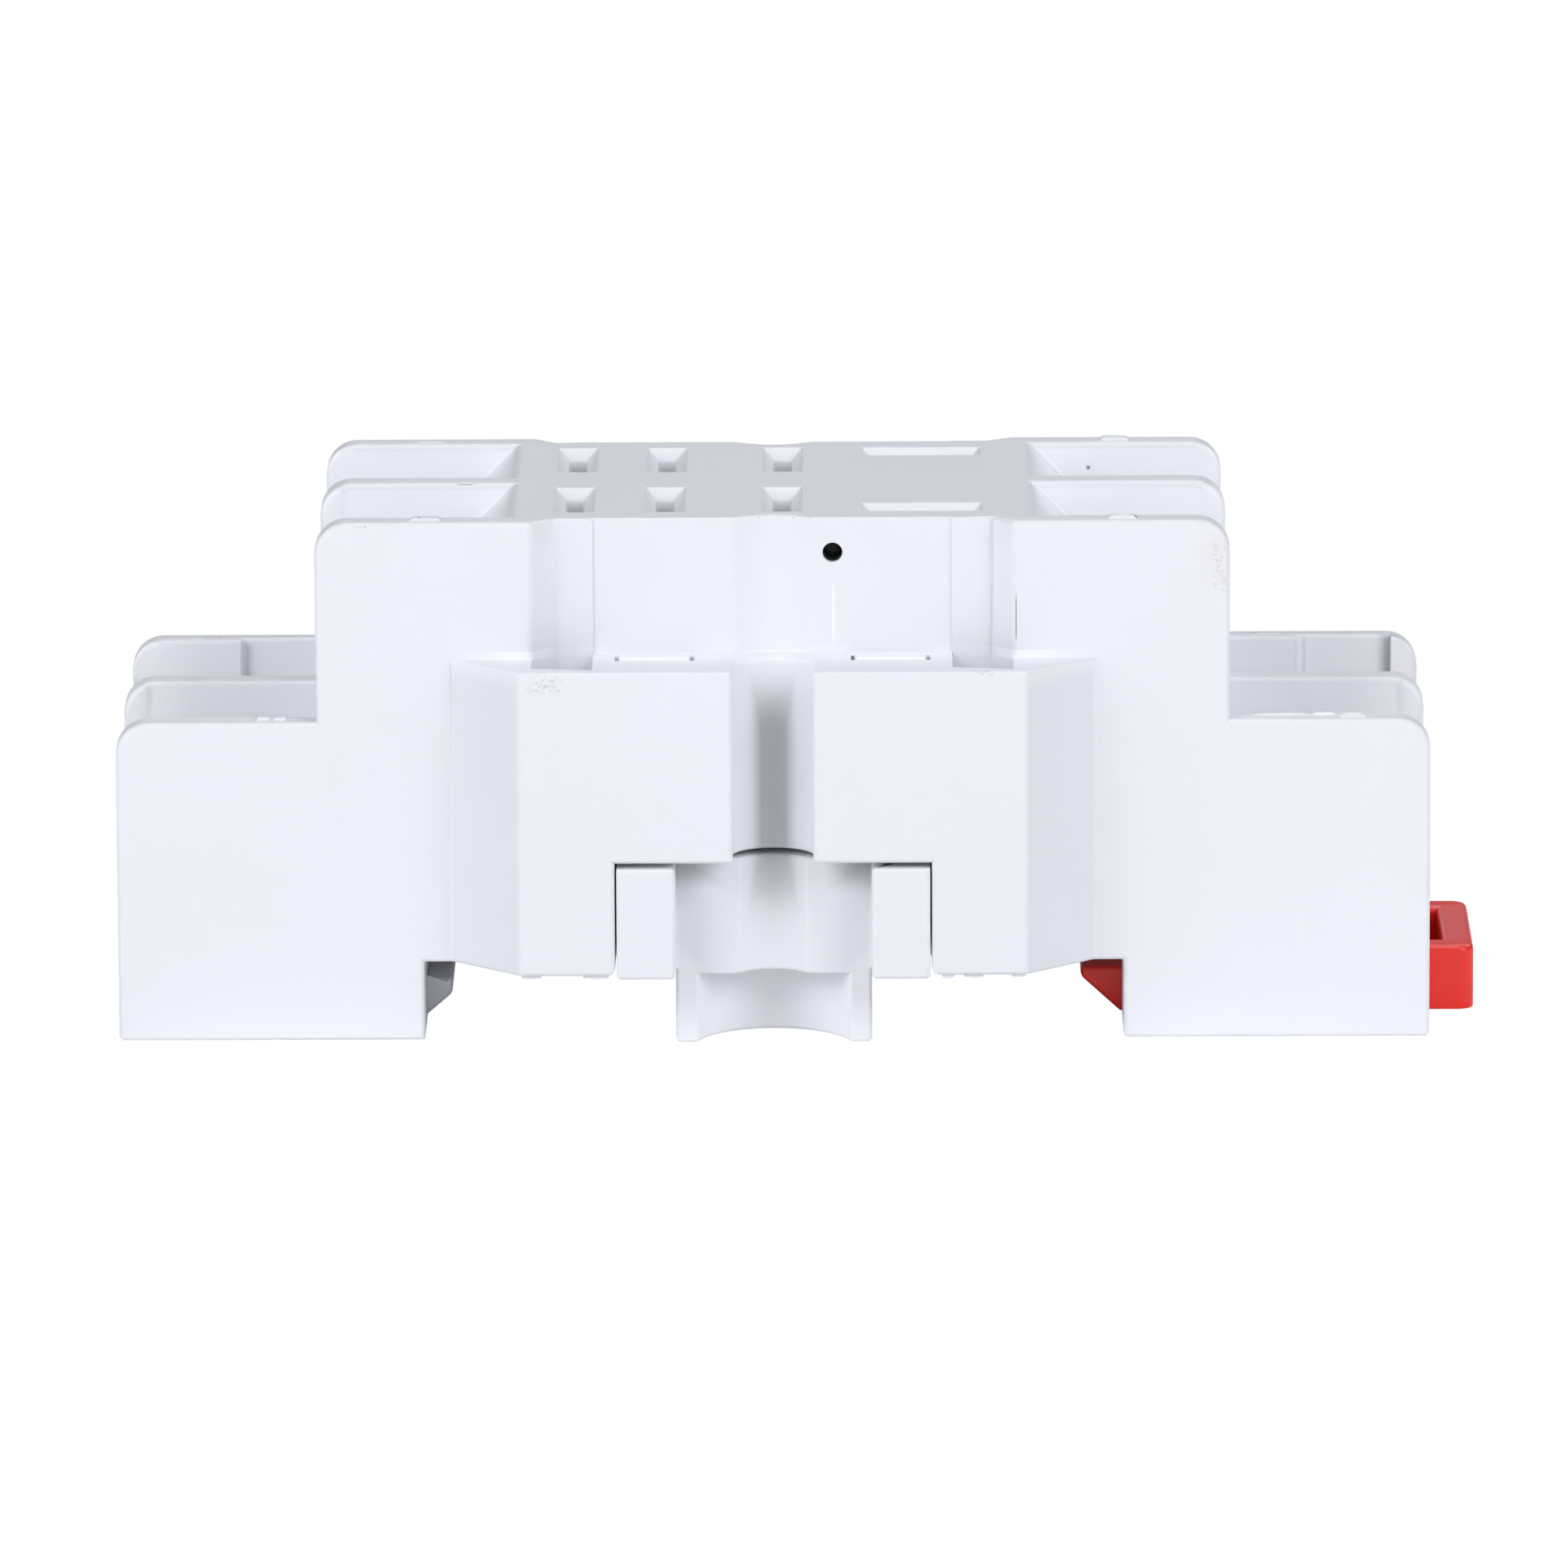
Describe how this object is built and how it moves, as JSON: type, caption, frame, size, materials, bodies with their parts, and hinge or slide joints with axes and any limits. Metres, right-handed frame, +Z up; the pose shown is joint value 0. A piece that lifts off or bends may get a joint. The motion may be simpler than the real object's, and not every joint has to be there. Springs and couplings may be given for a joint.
{
  "type": "relay socket",
  "caption": "Screw terminal socket for a plug-in blade relay, with stepped barrier fins, a sprung sliding rail clip and screw notches for a panel.",
  "frame": {"origin": "on the rail seat, the flat underside of the bottom cover, at the centre of the socket", "axes": "+X along the socket towards the end with the rail clip, +Y along the rail, +Z up to the relay platform"},
  "size_m": [0.0687, 0.028, 0.0268],
  "materials": {
    "housing_moulding": "satin moulded",
    "cover_moulding": "satin moulded",
    "red_moulding": "semi gloss moulded",
    "spring_steel": "drawn wire",
    "terminal_brass": "stamped",
    "clip_bronze": "rolled and formed",
    "plated_steel": "zinc plated"
  },
  "bodies": {
    "base": {"housing": "housing_moulding", "bottom_cover": "cover_moulding", "clip_spring": "spring_steel", "front_break_busbar": "terminal_brass", "front_break_blade_clip": "clip_bronze", "front_make_busbar": "terminal_brass", "front_make_blade_clip": "clip_bronze", "front_common_busbar": "terminal_brass", "front_common_blade_clip": "clip_bronze", "front_coil_busbar": "terminal_brass", "front_coil_blade_clip": "clip_bronze", "rear_break_busbar": "terminal_brass", "rear_break_blade_clip": "clip_bronze", "rear_make_busbar": "terminal_brass", "rear_make_blade_clip": "clip_bronze", "rear_common_busbar": "terminal_brass", "rear_common_blade_clip": "clip_bronze", "rear_coil_busbar": "terminal_brass", "rear_coil_blade_clip": "clip_bronze"},
    "rail_clip": {"rail_clip": "red_moulding"},
    "front_break_clamp": {"front_break_clamp_washer": "plated_steel"},
    "front_break_screw": {"front_break_screw": "plated_steel"},
    "front_make_clamp": {"front_make_clamp_washer": "plated_steel"},
    "front_make_screw": {"front_make_screw": "plated_steel"},
    "front_common_clamp": {"front_common_clamp_washer": "plated_steel"},
    "front_common_screw": {"front_common_screw": "plated_steel"},
    "front_coil_clamp": {"front_coil_clamp_washer": "plated_steel"},
    "front_coil_screw": {"front_coil_screw": "plated_steel"},
    "rear_break_clamp": {"rear_break_clamp_washer": "plated_steel"},
    "rear_break_screw": {"rear_break_screw": "plated_steel"},
    "rear_make_clamp": {"rear_make_clamp_washer": "plated_steel"},
    "rear_make_screw": {"rear_make_screw": "plated_steel"},
    "rear_common_clamp": {"rear_common_clamp_washer": "plated_steel"},
    "rear_common_screw": {"rear_common_screw": "plated_steel"},
    "rear_coil_clamp": {"rear_coil_clamp_washer": "plated_steel"},
    "rear_coil_screw": {"rear_coil_screw": "plated_steel"}
  },
  "joints": [
    {"name": "rail_clip_slide", "type": "slide", "parent": "base", "child": "rail_clip", "axis": [1, 0, 0], "range_m": [0, 0.0025], "stiffness_N_per_m": 400, "springref_m": -0.003, "deforming": ["clip_spring"]},
    {"name": "front_break_clamp_lift", "type": "slide", "parent": "base", "child": "front_break_clamp", "axis": [0, 0, 1], "range_m": [0, 0.0024]},
    {"name": "front_break_screw_turn", "type": "hinge", "parent": "front_break_clamp", "child": "front_break_screw", "pos_m": [-0.01871, -0.00495, 0.01567], "axis": [0, 0, 1], "range_deg": [0, 1440.5]},
    {"name": "front_make_clamp_lift", "type": "slide", "parent": "base", "child": "front_make_clamp", "axis": [0, 0, 1], "range_m": [0, 0.0024]},
    {"name": "front_make_screw_turn", "type": "hinge", "parent": "front_make_clamp", "child": "front_make_screw", "pos_m": [-0.02779, -0.00495, 0.0054], "axis": [0, 0, 1], "range_deg": [0, 1440.5]},
    {"name": "front_common_clamp_lift", "type": "slide", "parent": "base", "child": "front_common_clamp", "axis": [0, 0, 1], "range_m": [0, 0.0024]},
    {"name": "front_common_screw_turn", "type": "hinge", "parent": "front_common_clamp", "child": "front_common_screw", "pos_m": [0.02779, -0.00495, 0.0054], "axis": [0, 0, 1], "range_deg": [0, 1440.5]},
    {"name": "front_coil_clamp_lift", "type": "slide", "parent": "base", "child": "front_coil_clamp", "axis": [0, 0, 1], "range_m": [0, 0.0024]},
    {"name": "front_coil_screw_turn", "type": "hinge", "parent": "front_coil_clamp", "child": "front_coil_screw", "pos_m": [0.01871, -0.00495, 0.01567], "axis": [0, 0, 1], "range_deg": [0, 1440.5]},
    {"name": "rear_break_clamp_lift", "type": "slide", "parent": "base", "child": "rear_break_clamp", "axis": [0, 0, 1], "range_m": [0, 0.0024]},
    {"name": "rear_break_screw_turn", "type": "hinge", "parent": "rear_break_clamp", "child": "rear_break_screw", "pos_m": [-0.01871, 0.00495, 0.01567], "axis": [0, 0, 1], "range_deg": [0, 1440.5]},
    {"name": "rear_make_clamp_lift", "type": "slide", "parent": "base", "child": "rear_make_clamp", "axis": [0, 0, 1], "range_m": [0, 0.0024]},
    {"name": "rear_make_screw_turn", "type": "hinge", "parent": "rear_make_clamp", "child": "rear_make_screw", "pos_m": [-0.02779, 0.00495, 0.0054], "axis": [0, 0, 1], "range_deg": [0, 1440.5]},
    {"name": "rear_common_clamp_lift", "type": "slide", "parent": "base", "child": "rear_common_clamp", "axis": [0, 0, 1], "range_m": [0, 0.0024]},
    {"name": "rear_common_screw_turn", "type": "hinge", "parent": "rear_common_clamp", "child": "rear_common_screw", "pos_m": [0.02779, 0.00495, 0.0054], "axis": [0, 0, 1], "range_deg": [0, 1440.5]},
    {"name": "rear_coil_clamp_lift", "type": "slide", "parent": "base", "child": "rear_coil_clamp", "axis": [0, 0, 1], "range_m": [0, 0.0024]},
    {"name": "rear_coil_screw_turn", "type": "hinge", "parent": "rear_coil_clamp", "child": "rear_coil_screw", "pos_m": [0.01871, 0.00495, 0.01567], "axis": [0, 0, 1], "range_deg": [0, 1440.5]}
  ],
  "couplings": [
    {"joint": "front_break_screw_turn", "follows": "front_break_clamp_lift", "rad_per_m": 10472},
    {"joint": "front_make_screw_turn", "follows": "front_make_clamp_lift", "rad_per_m": 10472},
    {"joint": "front_common_screw_turn", "follows": "front_common_clamp_lift", "rad_per_m": 10472},
    {"joint": "front_coil_screw_turn", "follows": "front_coil_clamp_lift", "rad_per_m": 10472},
    {"joint": "rear_break_screw_turn", "follows": "rear_break_clamp_lift", "rad_per_m": 10472},
    {"joint": "rear_make_screw_turn", "follows": "rear_make_clamp_lift", "rad_per_m": 10472},
    {"joint": "rear_common_screw_turn", "follows": "rear_common_clamp_lift", "rad_per_m": 10472},
    {"joint": "rear_coil_screw_turn", "follows": "rear_coil_clamp_lift", "rad_per_m": 10472}
  ]
}
